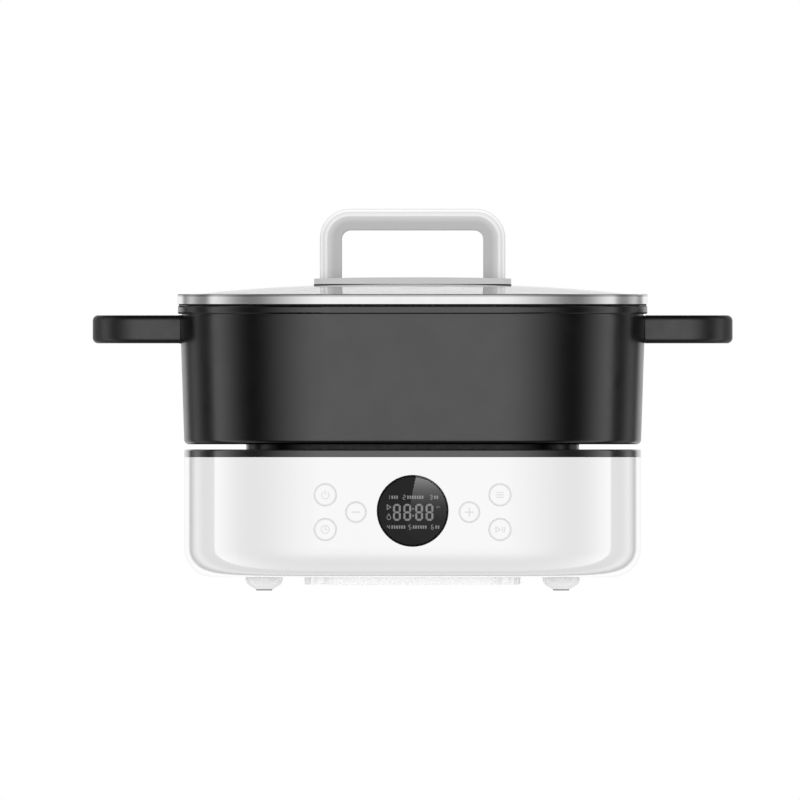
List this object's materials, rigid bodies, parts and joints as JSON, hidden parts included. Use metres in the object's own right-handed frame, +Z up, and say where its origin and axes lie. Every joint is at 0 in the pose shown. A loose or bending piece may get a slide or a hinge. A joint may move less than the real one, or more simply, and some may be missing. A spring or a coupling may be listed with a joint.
{
  "type": "electric hot pot",
  "caption": "Electric hot pot: heated square base with round display and keys, lift-off pot with loop grips, lift-off glass lid with bridge handle.",
  "frame": {"origin": "centre of the footprint, on the surface that the foot pads stand on", "axes": "+Z up; the front with the display faces -Y; +X to the right seen from the front, through the side grips"},
  "size_m": [0.3948, 0.29, 0.2356],
  "materials": {
    "white_housing": "smooth moulded plastic, soft gloss",
    "white_keys": "smooth moulded plastic, soft gloss",
    "white_feet": "moulded plastic",
    "black_deck": "fine satin moulded plastic",
    "black_grip": "satin heat-proof plastic",
    "coated_cast_pot": "cast aluminium under a black stoneware-look coating",
    "cast_plate": "machined cast aluminium",
    "probe_aluminium": "drawn aluminium",
    "rim_steel": "brushed stainless steel",
    "plated_steel": "zinc-plated steel",
    "element_steel": "heat-darkened steel tube",
    "spring_steel": "drawn steel wire",
    "lid_glass": "clear tempered glass",
    "smoked_window": "polished smoked acrylic",
    "grey_handle": "satin light grey plastic",
    "grey_rubber": "soft rubber",
    "clear_silicone": "silicone seal",
    "circuit_board": "glass-fibre board with green resist",
    "black_component": "moulded component case",
    "light_segments": "moulded segment block",
    "relay_case": "moulded component case",
    "capacitor_sleeve": "shrink sleeve on an aluminium can",
    "terminal_plastic": "moulded terminal body",
    "transformer_core": "varnished iron laminations",
    "inlet_plastic": "moulded heat-proof plastic",
    "pin_brass": "nickel-plated brass",
    "wire_white": "braided heat-proof sleeve",
    "wire_brown": "insulated wire",
    "wire_green": "insulated earth wire",
    "ribbon_grey": "flat ribbon cable",
    "fuse_body": "sleeved thermal fuse"
  },
  "bodies": {
    "base": {"base_housing": "white_housing", "bottom_cover": "white_housing", "top_cover": "black_deck", "foot_front_left": "white_feet", "foot_front_right": "white_feet", "foot_back_left": "white_feet", "foot_back_right": "white_feet", "foot_pads": "grey_rubber", "case_screws": "plated_steel", "display_lens": "smoked_window", "key_switches": "black_component", "display_board": "circuit_board", "display_module": "light_segments", "display_screws": "plated_steel", "heating_plate": "cast_plate", "heating_element": "element_steel", "heat_shield": "plated_steel", "heater_standoffs": "plated_steel", "heater_screws": "plated_steel", "thermal_fuse": "fuse_body", "fuse_clip": "plated_steel", "sensor_guide": "plated_steel", "sensor_spring": "spring_steel", "power_board": "circuit_board", "board_screws": "plated_steel", "transformer": "transformer_core", "relay": "relay_case", "capacitor": "capacitor_sleeve", "terminal_block": "terminal_plastic", "power_inlet": "inlet_plastic", "inlet_pins": "pin_brass", "inlet_screws": "plated_steel", "mains_wires": "wire_brown", "earth_wire": "wire_green", "heater_wires": "wire_white", "sensor_wire": "wire_white", "display_cable": "ribbon_grey"},
    "probe": {"sensor_cap": "probe_aluminium", "thermistor": "black_component"},
    "pot_body": {"pot": "coated_cast_pot", "pot_handle_right": "black_grip", "pot_handle_left": "black_grip", "pot_handle_screws": "plated_steel"},
    "lid": {"lid_rim": "rim_steel", "lid_glass": "lid_glass", "lid_gasket": "clear_silicone", "lid_vent": "rim_steel", "lid_handle_plate": "grey_handle", "lid_handle": "grey_handle", "lid_washers": "clear_silicone", "lid_handle_screws": "plated_steel"},
    "key_power_body": {"key_power": "white_keys"},
    "key_timer_body": {"key_timer": "white_keys"},
    "key_minus_body": {"key_minus": "white_keys"},
    "key_plus_body": {"key_plus": "white_keys"},
    "key_mode_body": {"key_mode": "white_keys"},
    "key_start_body": {"key_start": "white_keys"}
  },
  "joints": [
    {"name": "pot_lift", "type": "slide", "parent": "base", "child": "pot_body", "axis": [0, 0, 1], "range_m": [0, 0.12]},
    {"name": "lid_lift", "type": "slide", "parent": "pot_body", "child": "lid", "axis": [0, 0, 1], "range_m": [0, 0.12]},
    {"name": "probe_plunge", "type": "slide", "parent": "base", "child": "probe", "axis": [0, 0, -1], "range_m": [0, 0.003], "stiffness_N_per_m": 300, "springref_m": -0.004, "deforming": ["sensor_spring", "sensor_wire"]},
    {"name": "key_power_press", "type": "slide", "parent": "base", "child": "key_power_body", "axis": [0, 1, 0], "range_m": [0, 0.0008], "stiffness_N_per_m": 900, "springref_m": -0.0008},
    {"name": "key_timer_press", "type": "slide", "parent": "base", "child": "key_timer_body", "axis": [0, 1, 0], "range_m": [0, 0.0008], "stiffness_N_per_m": 900, "springref_m": -0.0008},
    {"name": "key_minus_press", "type": "slide", "parent": "base", "child": "key_minus_body", "axis": [0, 1, 0], "range_m": [0, 0.0008], "stiffness_N_per_m": 900, "springref_m": -0.0008},
    {"name": "key_plus_press", "type": "slide", "parent": "base", "child": "key_plus_body", "axis": [0, 1, 0], "range_m": [0, 0.0008], "stiffness_N_per_m": 900, "springref_m": -0.0008},
    {"name": "key_mode_press", "type": "slide", "parent": "base", "child": "key_mode_body", "axis": [0, 1, 0], "range_m": [0, 0.0008], "stiffness_N_per_m": 900, "springref_m": -0.0008},
    {"name": "key_start_press", "type": "slide", "parent": "base", "child": "key_start_body", "axis": [0, 1, 0], "range_m": [0, 0.0008], "stiffness_N_per_m": 900, "springref_m": -0.0008}
  ]
}
